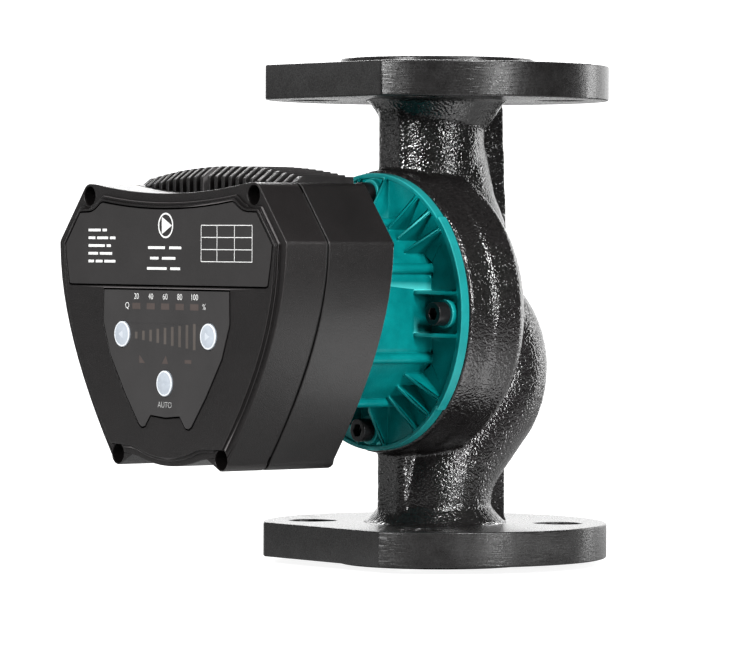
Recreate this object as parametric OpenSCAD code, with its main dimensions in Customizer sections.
// Wet-rotor circulator pump: flanged in-line casing, canned motor and front-mounted controller.
// Frame: origin at the centre of the inlet flange's sealing face, +Z up the pipe axis,
// motor axis along Y at half height, controller front facing -Y, +X to the right of it.
// Names ending in _front or _back are positions along Y, from the controller towards the pipe.

/* [Pipe flanges] */
// Distance between the sealing faces of the two flanges
port_distance = 220; // [216:1:226]
// Radius of the pipe flanges
flange_r = 75; // [72:0.5:80]
// Thickness of a flange rim
flange_t = 15; // [13:0.5:16]
// Distance of the flat on the motor side of each flange from the pipe axis
flange_flat = 63.4; // [60:0.1:66]
// Height of the raised sealing face
raised_h = 3; // [2:0.5:4]
// Radius of the raised sealing face
raised_r = 42; // [40:0.5:43]
// Radius of the pipe ports
port_r = 20; // [18:0.5:20.5]
// Circle of the larger flange bolts
bolt_pcd = 110; // [109:1:112]
// Radius of the larger flange bolt holes
bolt_r = 9.5; // [9.5:0.1:10]
// Circle of the smaller flange bolts
small_pcd = 100; // [99:1:100]
// Radius of the smaller flange bolt holes
small_r = 6.75; // [6.5:0.05:6.75]

/* [Pump casing] */
// Radius of the straight inlet neck
inlet_neck_r = 24.5; // [23.5:0.25:26]
// Radius of the straight outlet neck
outlet_neck_r = 23; // [22:0.25:25]
// Radius of the water passage inside the necks
passage_r = 17; // [15:0.5:17]
// Radius of the ring that carries the motor
ring_r = 61.5; // [61:0.5:64]
// Radius of the volute behind that ring
volute_r = 62.5; // [62:0.5:66]
// Lean of the suction duct from the pipe axis, in degrees
duct_lean = 42; // [40:1:44]

/* [Motor] */
// Radius of the motor flange
motor_flange_r = 60; // [59:0.5:61]
// Radius of the motor barrel at its corners
barrel_r = 41.8; // [41:0.2:43]
// Distance of the barrel's flats from the motor axis
barrel_flat = 39.2; // [38.5:0.1:40]
// Radius of the circle of the motor screws
screw_circle_r = 51; // [50.5:0.5:52]
// Radius of the stator core
stator_r = 35; // [34:0.5:35.5]
// Radius of the impeller
impeller_r = 40; // [36:0.5:40.5]
// Number of impeller blades
blade_count = 6; // [5:1:7]
// Radius of the shaft
shaft_r = 4; // [3.5:0.1:4]

/* [Controller] */
// Thickness of the controller walls
wall = 3; // [2:0.25:3.5]
// Number of cooling fins
fin_count = 22; // [16:1:22]
// Thickness of a cooling fin
fin_t = 2; // [1.5:0.1:2.4]
// Radius of the wells over the cover screws
well_r = 4.1; // [3.8:0.05:4.1]
// Radius of the button caps
button_r = 5.4; // [4.5:0.1:5.5]
// How far a button can be pressed
button_travel = 0.8; // [0.4:0.1:0.8]

/* [Hidden] */
$fn = 64;
duct_fn = 40;
run_in = 1;
eps = 0.01;
cut = 1;

// Positions along the motor axis
motor_z = port_distance / 2;
ring_front = -31.3;
ring_back = -17.5;
seat_back = -25;
chamber_front = -18;
chamber_back = -8;
volute_back = -4;
edge_back = 2;
dome_back = 14;
can_flange_front = -31.2;
can_flange_back = -30.4;
plate_back = -26;
rim_front = -35.7;
floor_front = -34.5;
screw_seat = -37.5;
rib_front = -44.3;
stator_front = -75;
stator_back = -43;
barrel_front = -88;
bore_front = -84;
box_back = -88;
box_front = -121.8;
cover_back = -123;
rim_plane = -143.8;
lip_plane = -144.6;
panel_plane = -145.7;
panel_floor = -144.7;
cover_inner = -142.7;

// Casing details
seat_r = 45;
throat_r = 41;
cutwater_r = 43;
spiral_r = 56;
cutwater_angle = 100;
eye_seat_r = 20.5;
eye_seat_back = -3.5;
port_length = 15;
web_front = -26.3;
web_half = 9.5;
web_edge_r = 3;
rear_web_top = 33;
rear_web_low = 35.5;
rear_web_half = 6;
outlet_y = -3;
flare_y = 1;
flare_r = 29.5;
bend_1_r = 36;
bend_2_r = 25;
bend_2_y = 7;
bend_2_z = motor_z - bend_2_r;
bend_1_end_y = bend_1_r * (1 - cos(duct_lean));
bend_2_start_y = bend_2_y + bend_2_r * cos(duct_lean);
bend_2_start_z = bend_2_z - bend_2_r * sin(duct_lean);
lean_length = (bend_2_start_y - bend_1_end_y) / sin(duct_lean);
bend_1_z = bend_2_start_z - lean_length * cos(duct_lean) - bend_1_r * sin(duct_lean);
neck_top = port_distance - raised_h - flange_t;
neck_bottom = raised_h + flange_t;

// Motor details
can_r = 17;
can_wall = 0.6;
cup_r = 8.05;
cup_front = -85;
can_front = -78;
rotor_r = 15.5;
sleeve_wall = 0.4;
tooth_count = 9;
tooth_w = 6.4;
slot_in_r = 19.5;
slot_out_r = 30;
bush_r = 8;
running_gap = 0.05;
rib_angles = [38.3, 48.3, 58.6];
rib_t = 1.6;
pocket_half = 8.2;
lead_hole_z = motor_z + 22;
box_screw_offset = 22;

// Controller outline, right half, X and Z
well_top = [58.2, 159.3];
well_low = [36.6, 50.3];
top_corner_r = 5.2;
low_corner_r = 4.9;
dip_z = 160.2;
dip_r = 357.6;
shoulder = [80.4, 139];
side_pull = [79.3, 100];
side_end = [41.2, 49.2];
plate_gap = 0.6;
lip_out = 1.3;
well_land_r = 5.2;
well_floor = -127;
cover_pilot_r = 1.75;
box_pilot_r = 2.2;
fin_span = 52;
fin_peak = 172;
fin_foot = 158;
fin_arch_r = 290;
fin_slope_y = 6.5;
fin_slope_z = 4.6;
lead_hole_r = 6;
gland_y = -105;
gland_z = 128;
gland_face = -81;
button_side = [30.6, 100.9];
button_low = [0, 80.75];
post_r = 7;
post_back = -100;
gland_bore_r = 10.2;
board_front = -137.6;
board_back = -136;
stem_end = -141;
stem_r = 1.8;
dome_r = 24;
button_front = -146.9;
cap_back = -143.7;
button_flange_back = -143.5;
button_flange_t = 0.9;
button_clearance = 0.3;
mask_front = -144.4;
mask_back = -139;
power_front = -112;
power_back = -110.4;

// Points on a circular arc
function arc(c, r, a0, a1, n) =
  [for (i = [0:n]) let (a = a0 + (a1 - a0) * i / n) c + r * [cos(a), sin(a)]];
// Points on a quadratic curve from p to q, pulled towards m
function curve(p, m, q, n) =
  [for (i = [0:n]) let (t = i / n) (1 - t) * (1 - t) * p + 2 * t * (1 - t) * m + t * t * q];
// Closed outline from its right half, which runs from the top centre to the bottom centre
function both_sides(half) =
  concat(half, [for (i = [len(half) - 1:-1:0]) if (half[i][0] > eps) [-half[i][0], half[i][1]]]);

// A cylinder on the motor axis between two positions
module disc_y(r, front, back) {
  translate([0, back, motor_z]) rotate([90, 0, 0]) cylinder(r = r, h = back - front);
}

// A ring on the motor axis
module ring_y(r_out, r_in, front, back) {
  difference() {
    disc_y(r_out, front, back);
    disc_y(r_in, front - cut, back + cut);
  }
}

// A cone on the motor axis
module cone_y(r_front, r_back, front, back) {
  translate([0, back, motor_z]) rotate([90, 0, 0]) cylinder(r1 = r_back, r2 = r_front, h = back - front);
}

// A shape drawn in X and Z, extruded along Y
module prism_y(front, back) {
  translate([0, back, 0]) rotate([90, 0, 0]) linear_extrude(back - front) children();
}

// A shape drawn around the motor axis, extruded along Y
module axial_y(front, back) {
  prism_y(front, back) translate([0, motor_z]) children();
}

// A box between two corners
module block(low, high) {
  translate(low) cube(high - low);
}

// Places its child on the axis of each motor screw, at a position along Y
module at_motor_screws(y) {
  for (a = [0:90:270]) translate([screw_circle_r * cos(a), y, motor_z + screw_circle_r * sin(a)]) children();
}

// Places its child on the axis of each screw between motor and controller
module at_box_screws(y) {
  for (sx = [-1, 1], sz = [-1, 1])
    translate([sx * box_screw_offset, y, motor_z + sz * box_screw_offset]) children();
}

// A cylinder that runs from the origin towards -Y
module rod_y(r, h) {
  rotate([90, 0, 0]) cylinder(r = r, h = h);
}

// ---- Pump casing ----

module flange_plate() {
  translate([0, 0, raised_h]) linear_extrude(flange_t) intersection() {
    circle(r = flange_r);
    translate([-flange_r, -flange_flat]) square([2 * flange_r, flange_flat + flange_r]);
  }
  cylinder(r = raised_r, h = raised_h + cut);
}

module flange_holes() {
  h = raised_h + flange_t + 2 * cut;
  for (a = [45:90:315]) rotate([0, 0, a]) {
    translate([bolt_pcd / 2, 0, -cut]) cylinder(r = bolt_r, h = h);
    translate([small_pcd / 2, 0, -cut]) cylinder(r = small_r, h = h);
  }
}

// The suction duct's route as a solid tube of a given radius: up, leaning back, over and forward.
// The straight runs are 0.1 smaller in radius, so that their ends lie inside the bends.
module duct_route(r, eye_front) {
  translate([0, bend_1_r, bend_1_z]) rotate([90, 0, -90])
    rotate_extrude(angle = duct_lean, $fn = duct_fn) translate([bend_1_r, 0]) circle(r = r, $fn = duct_fn);
  translate([0, bend_1_end_y, bend_1_z + bend_1_r * sin(duct_lean)]) rotate([-duct_lean, 0, 0])
    translate([0, 0, -run_in]) cylinder(r = r - 0.1, h = lean_length + 2 * run_in, $fn = duct_fn);
  translate([0, bend_2_y, bend_2_z]) rotate([90, 0, 90]) rotate([0, 0, -duct_lean])
    rotate_extrude(angle = 90 + duct_lean, $fn = duct_fn) translate([bend_2_r, 0])
      circle(r = r, $fn = duct_fn);
  disc_y(r - 0.1, eye_front, bend_2_y + run_in);
}

module spiral_chamber() {
  steps = 40;
  axial_y(chamber_front, chamber_back)
    polygon([for (i = [0:steps])
      let (a = cutwater_angle - 360 * i / steps, r = cutwater_r + (spiral_r - cutwater_r) * i / steps)
      r * [cos(a), sin(a)]]);
}

module front_web(z0, z1) {
  translate([0, 0, z0]) linear_extrude(z1 - z0) {
    translate([-web_half, web_front + web_edge_r]) square([2 * web_half, -web_front - web_edge_r]);
    translate([web_edge_r - web_half, web_front]) square([2 * (web_half - web_edge_r), web_edge_r + eps]);
    for (s = [-1, 1]) translate([s * (web_half - web_edge_r), web_front + web_edge_r]) circle(r = web_edge_r);
  }
}

module casing_solid() {
  flange_plate();
  translate([0, 0, port_distance]) mirror([0, 0, 1]) flange_plate();
  // Inlet neck and suction duct
  translate([0, 0, neck_bottom - cut])
    cylinder(r = inlet_neck_r - 0.1, h = bend_1_z - neck_bottom + cut + run_in);
  translate([0, 0, neck_bottom]) cylinder(r1 = inlet_neck_r + 6, r2 = inlet_neck_r - eps, h = 7);
  duct_route(inlet_neck_r, -2);
  // Outlet neck
  translate([0, outlet_y, motor_z + 34]) cylinder(r = outlet_neck_r, h = neck_top - motor_z - 34 + cut);
  translate([0, flare_y, motor_z + 22]) cylinder(r1 = 16, r2 = flare_r, h = 16);
  translate([0, flare_y, motor_z + 38]) cylinder(r1 = flare_r, r2 = flare_r - 5, h = 13);
  translate([0, flare_y, motor_z + 51]) cylinder(r1 = flare_r - 5, r2 = flare_r - 9, h = 20);
  translate([0, 0, neck_top - 12]) cylinder(r1 = outlet_neck_r - 1, r2 = outlet_neck_r + 7, h = 12);
  // Ribs in front of and behind the necks
  front_web(neck_bottom - cut, motor_z - 50);
  front_web(motor_z + 50, neck_top + cut);
  block([-rear_web_half, 0, neck_bottom - cut], [rear_web_half, rear_web_low, bend_2_z]);
  translate([-rear_web_half, 0, 0]) rotate([90, 0, 90]) linear_extrude(2 * rear_web_half)
    polygon([[0, motor_z + 10], [rear_web_low, motor_z + 10], [rear_web_low, motor_z + 38],
      [rear_web_top, neck_top + cut], [0, neck_top + cut]]);
  // Motor ring and volute
  disc_y(ring_r, ring_front, ring_back);
  disc_y(volute_r, ring_back, volute_back);
  cone_y(volute_r, volute_r - 5, volute_back, edge_back);
  cone_y(volute_r - 5, 30, edge_back, dome_back);
}

module pump_housing() {
  color([0.07, 0.07, 0.075]) difference() {
    casing_solid();
    flange_holes();
    translate([0, 0, port_distance]) mirror([0, 0, 1]) flange_holes();
    // Ports and water passages
    translate([0, 0, -cut]) cylinder(r = port_r, h = port_length + cut);
    translate([0, 0, port_distance - port_length]) cylinder(r = port_r, h = port_length + cut);
    translate([0, 0, port_length - cut])
      cylinder(r = passage_r - 0.1, h = bend_1_z - port_length + cut + run_in);
    duct_route(passage_r, chamber_back - cut);
    translate([0, outlet_y + 1, motor_z + 38])
      cylinder(r = passage_r, h = port_distance - port_length - motor_z - 38 + cut);
    // Motor opening, impeller chamber and wear ring seat
    disc_y(seat_r, ring_front - cut, seat_back);
    disc_y(throat_r, seat_back - cut, chamber_front + cut);
    spiral_chamber();
    disc_y(eye_seat_r, chamber_back - cut, eye_seat_back);
    // Tapped holes for the motor screws
    at_motor_screws(-19.8) rod_y(3, 20);
  }
}

module wear_ring() {
  color("goldenrod") ring_y(eye_seat_r - running_gap, 18.25, chamber_back + 0.1, eye_seat_back - 0.1);
}

// ---- Rotating parts ----

module blade_2d() {
  // A backward-curved blade: a slice of a circular band between hub and rim
  intersection() {
    difference() {
      circle(r = impeller_r - 1);
      circle(r = 13);
    }
    translate([13, 21]) difference() {
      circle(r = 26);
      circle(r = 24.4);
    }
    translate([0, -4]) square([60, 60]);
  }
}

module impeller() {
  color([0.85, 0.82, 0.72]) {
    difference() {
      union() {
        disc_y(impeller_r, -16.6, -15.2);
        disc_y(9, -15.3, -10);
        axial_y(-15.3, -10.1) for (i = [0:blade_count - 1]) rotate(i * 360 / blade_count) blade_2d();
        ring_y(impeller_r, 16, -10.2, -9);
        ring_y(18, 16, -9.1, -4);
      }
      disc_y(shaft_r + 0.02, -17.6, -9);
    }
  }
}

module impeller_nut() {
  color("goldenrod") difference() {
    translate([0, -6, motor_z]) rotate([90, 0, 0]) cylinder(r = 5.77, h = 3.9, $fn = 6);
    disc_y(3.02, -11, -5);
  }
}

module shaft() {
  color("white") difference() {
    union() {
      disc_y(shaft_r, -84, -10);
      disc_y(3, -10 - cut, -5.4);
    }
    disc_y(1, -84 - cut, -5);
  }
}

module rotor_core() {
  color([0.35, 0.35, 0.38]) ring_y(rotor_r, shaft_r + 0.02, stator_front + 0.5, stator_back - 0.5);
}

module rotor_sleeve() {
  inner = shaft_r + 0.02;
  outer = rotor_r + running_gap + sleeve_wall;
  color("silver") {
    ring_y(outer, inner, stator_front - 0.1, stator_front + 0.45);
    ring_y(outer, inner, stator_back - 0.45, stator_back + 0.1);
    ring_y(outer, rotor_r + running_gap, stator_front, stator_back);
  }
}

module thrust_washer() {
  color([0.2, 0.2, 0.22]) ring_y(9.5, shaft_r + 0.02, stator_back + 0.1, -37.4);
}

// ---- Motor internals ----

module rotor_can() {
  // A thin drawn cup: flange, tube, closed end and bearing pocket
  color("silver") {
    ring_y(seat_r - 0.2, can_r, can_flange_front, can_flange_back);
    ring_y(can_r + can_wall, can_r, can_front, can_flange_front + eps);
    ring_y(can_r + can_wall, cup_r, can_front - can_wall, can_front + eps);
    ring_y(cup_r + can_wall, cup_r, cup_front, can_front - can_wall + eps);
    disc_y(cup_r + can_wall, cup_front - can_wall, cup_front + eps);
  }
}

module bearing_plate() {
  color([0.6, 0.6, 0.62]) difference() {
    union() {
      disc_y(seat_r - 0.2, can_flange_back, plate_back);
      disc_y(throat_r - 0.2, plate_back - eps, chamber_front - 0.5);
      disc_y(11, -37, plate_back);
    }
    difference() {
      disc_y(36, -38, -21);
      disc_y(11, -38, -20);
    }
    disc_y(bush_r, -38, -17);
    for (a = [0:60:300]) translate([24 * cos(a), 0, motor_z + 24 * sin(a)])
      rotate([90, 0, 0]) cylinder(r = 2, h = 40);
  }
}

module inner_bearing() {
  color([0.18, 0.18, 0.2]) ring_y(bush_r - 0.02, shaft_r + running_gap, -36.5, -19);
}

module outer_bearing() {
  color([0.18, 0.18, 0.2]) ring_y(bush_r, shaft_r + running_gap, -84.7, -78.2);
}

module housing_gasket() {
  color([0.1, 0.1, 0.1]) ring_y(seat_r - 0.3, throat_r + 0.2, plate_back, seat_back);
}

module slots_2d() {
  difference() {
    circle(r = slot_out_r);
    circle(r = slot_in_r);
    for (i = [0:tooth_count - 1]) rotate(i * 360 / tooth_count)
      translate([0, -tooth_w / 2]) square([slot_out_r + cut, tooth_w]);
  }
}

module stator_core() {
  color([0.45, 0.46, 0.48]) axial_y(stator_front, stator_back) difference() {
    circle(r = stator_r);
    circle(r = can_r + can_wall + 0.15);
    slots_2d();
    for (i = [0:tooth_count - 1]) rotate((i + 0.5) * 360 / tooth_count)
      translate([can_r, -1]) square([slot_in_r - can_r + cut, 2]);
  }
}

module stator_windings() {
  // One racetrack coil round each stator tooth
  half_in = tooth_w / 2 + 0.1;
  half_out = half_in + 2.3;
  color([0.72, 0.36, 0.14]) for (i = [0:tooth_count - 1])
    translate([0, 0, motor_z]) rotate([0, i * 360 / tooth_count, 0]) difference() {
      block([20.2, stator_front - 4, -half_out], [29, stator_back + 4, half_out]);
      block([19, stator_front - 0.2, -half_in], [30, stator_back + 0.2, half_in]);
    }
}

// ---- Motor housing ----

module barrel_2d() {
  intersection() {
    circle(r = barrel_r);
    square(2 * barrel_flat, center = true);
  }
  // Rounded beads along the edges of the flats
  for (a = [0:90:270], s = [-1, 1]) rotate(a) translate([barrel_flat - 1, s * 19]) circle(r = 2.2, $fn = 24);
}

// A web in the plane of the motor axis, from the flange rim to the barrel, at a sideways offset
module gusset(angle, offset_t, t) {
  translate([0, 0, motor_z]) rotate([0, -angle, 0]) translate([0, 0, offset_t - t / 2])
    linear_extrude(t) polygon([[36, ring_front - 1], [motor_flange_r - 2, ring_front - 1],
      [motor_flange_r - 2, rim_front], [barrel_r + 1, rib_front], [36, rib_front]]);
}

module motor_housing() {
  color([0, 0.58, 0.6]) difference() {
    union() {
      disc_y(motor_flange_r, floor_front, ring_front);
      ring_y(motor_flange_r, motor_flange_r - 2, rim_front, ring_front);
      // The rim is slightly larger to the left and right
      intersection() {
        ring_y(motor_flange_r + 0.9, motor_flange_r - 2, rim_front, ring_front);
        axial_y(rim_front - 1, ring_front + 1) for (s = [-1, 1])
          polygon([[0, 0], [s * 70, -64], [s * 70, 64]]);
      }
      axial_y(barrel_front, ring_front - 1) barrel_2d();
      for (q = [0:90:270], a = rib_angles) gusset(q + (q % 180 == 0 ? a : 90 - a), 0, rib_t);
      for (a = [0:90:270], s = [-1, 1]) gusset(a, s * (pocket_half + rib_t / 2), rib_t);
      at_motor_screws(floor_front + eps) rod_y(6.2, floor_front - screw_seat);
    }
    disc_y(stator_r + 0.05, bore_front, ring_front + cut);
    // Pocket over the end of the rotor can
    disc_y(9.5, -86.2, bore_front + cut);
    // Way for the motor leads
    translate([0, bore_front + cut, lead_hole_z]) rod_y(lead_hole_r, 6);
    at_box_screws(bore_front + cut) rod_y(2, 6);
    at_motor_screws(ring_front + cut) rod_y(3.3, 10);
  }
}

// A socket cap screw along Y, seated at the origin with its head towards -Y
module cap_screw(r, length, head_r, head_h, hex_r) {
  rotate([90, 0, 0]) difference() {
    union() {
      cylinder(r = head_r, h = head_h);
      translate([0, 0, -length]) cylinder(r = r, h = length + eps);
    }
    translate([0, 0, head_h * 0.45]) cylinder(r = hex_r, h = head_h, $fn = 6);
  }
}

module motor_screws() {
  color([0.08, 0.08, 0.08]) at_motor_screws(screw_seat) cap_screw(2.98, 17, 5, 6, 2.9);
}

// ---- Controller outlines, in X and Z ----

function dip(x) = dip_z + dip_r - sqrt(dip_r * dip_r - x * x);

module box_2d() {
  top = [for (i = [0:6]) let (x = 54 * i / 6) [x, dip(x)]];
  polygon(both_sides(concat(
    top,
    arc(well_top, top_corner_r, 90, 36, 4),
    arc(shoulder - [3, 0], 3, 36, 0, 3),
    curve(shoulder - [0.1, 2], side_pull, side_end, 12),
    arc(well_low, low_corner_r, -30, -100, 4),
    [[31.5, 47.6], [26.5, 50]],
    curve([22, 49.3], [11, 46.1], [0, 46.1], 4))));
}

// The raised middle of the cover, which steps round the four screw wells
module platform_2d() {
  polygon(both_sides(concat(
    [for (i = [0:5]) let (x = 47 * i / 5) [x, dip(x) - 5.2]],
    curve([49.5, 156.6], [53.5, 153.7], [57, 153.7], 4),
    [[63.6, 153.4], [74.9, 139]],
    curve([74.4, 134], [74, 98], [39.5, 54.6], 10),
    [[26, 54.2]],
    curve([22, 53.6], [11, 49.5], [0, 49.5], 4))));
}

module label_2d() {
  polygon(both_sides(concat(
    [for (i = [0:5]) let (x = 46 * i / 5) [x, dip(x) - 6.8]],
    curve([48, 155.6], [52, 152.4], [56, 152.2], 4),
    [[62.4, 152], [73, 138.8], [72.4, 133.4], [70.2, 122.3], [69, 121.9], [0, 121.9]])));
}

module display_2d() {
  polygon(both_sides([[0, 119.6], [44.2, 119.6], [44.6, 106], [39.3, 91.8], [28.6, 76], [18.4, 63.2],
    [16.6, 62.2], [14.4, 62.6], [10.4, 67.4], [0, 66.6]]));
}

module at_wells() {
  for (p = [well_top, well_low], s = [-1, 1]) translate([s * p[0], p[1]]) children();
}

// ---- Controller housing ----

module fin(x) {
  top = fin_peak - fin_arch_r + sqrt(fin_arch_r * fin_arch_r - x * x);
  t = abs(x) > fin_span - 1 ? fin_t + 1 : fin_t;
  translate([x - t / 2, 0, 0]) rotate([90, 0, 90]) linear_extrude(t)
    polygon([[box_front, fin_foot], [box_front, top - fin_slope_z], [box_front + fin_slope_y, top],
      [box_back, top], [box_back, fin_foot]]);
}

module controller_housing() {
  color([0.16, 0.16, 0.165]) {
    difference() {
      union() {
        difference() {
          prism_y(box_front, box_back) box_2d();
          prism_y(box_front - cut, box_back - wall) offset(delta = -wall) box_2d();
        }
        // Posts for the cover screws and a pad for the cable gland
        prism_y(box_front, post_back) intersection() {
          box_2d();
          at_wells() circle(r = post_r);
        }
        translate([gland_face, gland_y, gland_z]) rotate([0, 90, 0]) cylinder(r = 14, h = 9);
      }
      prism_y(box_front - cut, post_back - 2) at_wells() circle(r = cover_pilot_r);
      translate([gland_face - cut, gland_y, gland_z]) rotate([0, 90, 0]) cylinder(r = gland_bore_r, h = 12);
      translate([0, box_back + cut, lead_hole_z]) rod_y(lead_hole_r, 6);
      at_box_screws(box_back + cut) rod_y(box_pilot_r, 6);
    }
    for (i = [0:fin_count - 1]) fin(fin_span * (2 * i / (fin_count - 1) - 1));
  }
}

module controller_screws() {
  color("silver") at_box_screws(box_back - wall) cap_screw(1.98, 8, 3.5, 4, 1.7);
}

module cover_gasket() {
  color([0.05, 0.05, 0.05]) prism_y(cover_back, box_front) difference() {
    difference() {
      offset(delta = -1) box_2d();
      at_wells() circle(r = post_r - 2);
    }
    difference() {
      offset(delta = -wall) box_2d();
      at_wells() circle(r = post_r);
    }
  }
}

module front_cover() {
  color([0.2, 0.2, 0.2]) difference() {
    union() {
      difference() {
        prism_y(rim_plane, cover_back) box_2d();
        prism_y(cover_inner, cover_back + cut) offset(delta = -wall) box_2d();
      }
      prism_y(lip_plane, rim_plane + eps) difference() {
        offset(delta = lip_out) platform_2d();
        at_wells() circle(r = well_land_r);
      }
      prism_y(panel_plane, rim_plane + eps) platform_2d();
      // Posts round the screw wells
      prism_y(rim_plane, cover_back) intersection() {
        box_2d();
        at_wells() circle(r = post_r);
      }
    }
    // Wells, with smaller holes for the screws below them
    prism_y(panel_plane - cut, well_floor) at_wells() circle(r = well_r);
    prism_y(well_floor - cut, cover_back + cut) at_wells() circle(r = box_pilot_r);
    // Pockets for the label and the display panel, and the window behind the panel
    prism_y(panel_plane - cut, panel_floor) offset(delta = plate_gap) label_2d();
    prism_y(panel_plane - cut, panel_floor) offset(delta = plate_gap) display_2d();
    prism_y(panel_plane - cut, cover_inner + cut) offset(delta = -3) display_2d();
  }
}

module cover_screws() {
  color("silver") for (p = [well_top, well_low], s = [-1, 1])
    translate([s * p[0], well_floor, p[1]]) cap_screw(1.73, 20, 3.5, 3, 1.5);
}

module label_plate() {
  color([0.25, 0.25, 0.25]) prism_y(panel_plane - 0.1, panel_floor) label_2d();
}

// ---- Display and buttons ----

module display_panel() {
  color([0.3, 0.3, 0.3]) difference() {
    prism_y(panel_plane - 0.2, panel_floor) display_2d();
    prism_y(panel_plane - cut, panel_floor + cut) {
      for (s = [-1, 1])
        translate([s * button_side[0], button_side[1]]) circle(r = button_r + button_clearance);
      translate(button_low) circle(r = button_r + button_clearance);
    }
  }
}

// Places its child at each display light: five level squares, nine bars and three mode marks
module at_lights() {
  for (i = [-2:2]) translate([i * 10.3, 113]) children(0);
  for (i = [-4:4]) translate([i * 5.15, 101]) children(1);
  for (i = [-1:1]) translate([i * 16.2, 90.6]) children(2);
}

module light_mask() {
  color("white") prism_y(mask_front, mask_back) difference() {
    translate([-24, 88]) square([48, 28]);
    at_lights() {
      square([4.4, 2.4], center = true);
      square([1.6, 10], center = true);
      square([3.6, 2.6], center = true);
    }
  }
}

// A domed cap with a retaining flange behind the panel and a stem to its switch
module button(p) {
  translate([p[0], 0, p[1]]) rotate([90, 0, 0]) {
    intersection() {
      translate([0, 0, -cap_back]) cylinder(r = button_r, h = 4);
      translate([0, 0, -button_front - dome_r]) sphere(r = dome_r);
    }
    translate([0, 0, -button_flange_back]) cylinder(r = button_r + 0.8, h = button_flange_t);
    translate([0, 0, -stem_end]) cylinder(r = stem_r, h = 3);
  }
}

module button_left() {
  color([0.85, 0.88, 0.92]) button([-button_side[0], button_side[1]]);
}

module button_right() {
  color([0.85, 0.88, 0.92]) button(button_side);
}

module button_auto() {
  color([0.85, 0.88, 0.92]) button(button_low);
}

module display_board() {
  color([0.05, 0.3, 0.15]) prism_y(board_front, board_back)
    polygon(both_sides([[0, 118], [46, 118], [46, 100], [26, 72], [0, 70]]));
}

module tact_switches() {
  tip = stem_end + button_travel + 0.1;
  color([0.12, 0.12, 0.12]) for (p = [[-button_side[0], button_side[1]], button_side, button_low])
    translate([p[0], 0, p[1]]) {
      block([-3, tip + 0.4, -3], [3, board_front, 3]);
      translate([0, board_front, 0]) rotate([90, 0, 0]) cylinder(r = 1.6, h = board_front - tip);
    }
}

module display_leds() {
  color([0.95, 0.9, 0.7]) prism_y(board_front - 1, board_front) at_lights() {
    square([2, 1.2], center = true);
    square([1.2, 2], center = true);
    square([2, 1.2], center = true);
  }
}

// ---- Controller electronics ----

module power_board() {
  color([0.05, 0.3, 0.15]) difference() {
    prism_y(power_front, power_back)
      polygon(both_sides([[0, 152], [50, 152], [66, 138], [64, 112], [44, 70], [20, 62], [0, 62]]));
    block([-80, power_front - cut, gland_z - 15], [-62, power_back + cut, gland_z + 15]);
  }
}

module capacitors() {
  color([0.1, 0.12, 0.3]) for (z = [120, 140]) translate([-34, power_front, z])
    rotate([90, 0, 0]) cylinder(r = 8, h = 20);
}

module filter_choke() {
  color([0.7, 0.4, 0.15]) translate([34, power_front - 5.2, 138]) rotate([90, 0, 0])
    rotate_extrude() translate([9, 0]) circle(r = 5);
}

module power_module() {
  color([0.1, 0.1, 0.1]) {
    block([-16, power_back, 136], [16, power_back + 5, 150]);
    block([-13, power_back + 4.9, 138], [13, power_back + 7, 148]);
  }
}

module terminal_block() {
  color([0.15, 0.5, 0.25]) difference() {
    block([-59, -126, 88], [-47, power_front, 112]);
    for (i = [0:2]) {
      translate([-53, -120, 92 + 8 * i]) rotate([90, 0, 0]) cylinder(r = 2, h = 8);
      translate([-60, -117, 92 + 8 * i]) rotate([0, 90, 0]) cylinder(r = 2.2, h = 9);
    }
  }
}

module board_connector() {
  color([0.1, 0.1, 0.1]) block([16, power_front - 3, 84], [36, power_front, 90]);
  color([0.1, 0.1, 0.1]) block([16, board_back, 84], [36, board_back + 3, 90]);
  color("gold") for (i = [0:6]) translate([17.6 + 2.54 * i, 0, 0])
    block([0, board_back + 3, 86.6], [0.6, power_front - 3, 87.2]);
}

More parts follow.
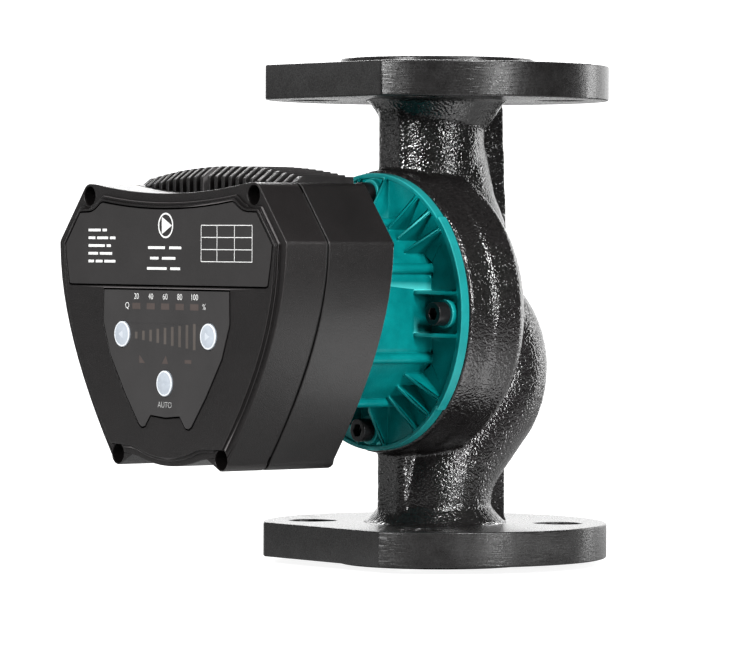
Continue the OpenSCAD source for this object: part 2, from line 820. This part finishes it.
module motor_plug() {
  color([0.9, 0.9, 0.85]) difference() {
    union() {
      translate([0, bore_front + 1.5, lead_hole_z]) rotate([90, 0, 0]) cylinder(r = 5.7, h = 14);
      translate([0, box_back - wall, lead_hole_z]) rotate([90, 0, 0]) cylinder(r = 8.5, h = 4);
    }
    for (a = [90:120:330]) translate([2.6 * cos(a), -80, lead_hole_z + 2.6 * sin(a)])
      rotate([90, 0, 0]) cylinder(r = 0.8, h = 10);
  }
}

// ---- Cable gland, on the left wall ----

// Places a shape on the gland's axis, with +Z of the shape pointing out of the wall
module on_gland(x) {
  translate([x, gland_y, gland_z]) rotate([0, -90, 0]) children();
}

module gland_body() {
  color([0.12, 0.12, 0.12]) difference() {
    union() {
      on_gland(gland_face) cylinder(r = 12.7, h = 7, $fn = 6);
      on_gland(-65.5) cylinder(r = 9.9, h = 17);
      on_gland(-87) cylinder(r = 9, h = 10);
    }
    on_gland(-60) cylinder(r = 6.2, h = 40);
    on_gland(-90) cylinder(r = 7.6, h = 10);
  }
}

module gland_seal() {
  color([0.05, 0.05, 0.05]) difference() {
    on_gland(-90) cylinder(r = 7.5, h = 8);
    on_gland(-89) cylinder(r = 4, h = 10);
  }
}

module gland_nut() {
  color([0.12, 0.12, 0.12]) difference() {
    union() {
      on_gland(-88.4) cylinder(r = 12.7, h = 6.6, $fn = 6);
      on_gland(-94.9) cylinder(r1 = 10.9, r2 = 8, h = 6.5);
    }
    on_gland(-88) cylinder(r = 9.1, h = 10);
    on_gland(-90) cylinder(r = 5.6, h = 20);
  }
}

module gland_locknut() {
  color([0.12, 0.12, 0.12]) difference() {
    on_gland(-67.5) cylinder(r = 12.7, h = 4.5, $fn = 6);
    on_gland(-66) cylinder(r = 10, h = 7);
  }
}

pump_housing();
wear_ring();
impeller();
impeller_nut();
shaft();
rotor_core();
rotor_sleeve();
thrust_washer();
rotor_can();
bearing_plate();
inner_bearing();
outer_bearing();
housing_gasket();
stator_core();
stator_windings();
motor_housing();
motor_screws();
controller_housing();
controller_screws();
cover_gasket();
front_cover();
cover_screws();
label_plate();
display_panel();
light_mask();
button_left();
button_right();
button_auto();
display_board();
tact_switches();
display_leds();
power_board();
capacitors();
filter_choke();
power_module();
terminal_block();
board_connector();
motor_plug();
gland_body();
gland_seal();
gland_nut();
gland_locknut();
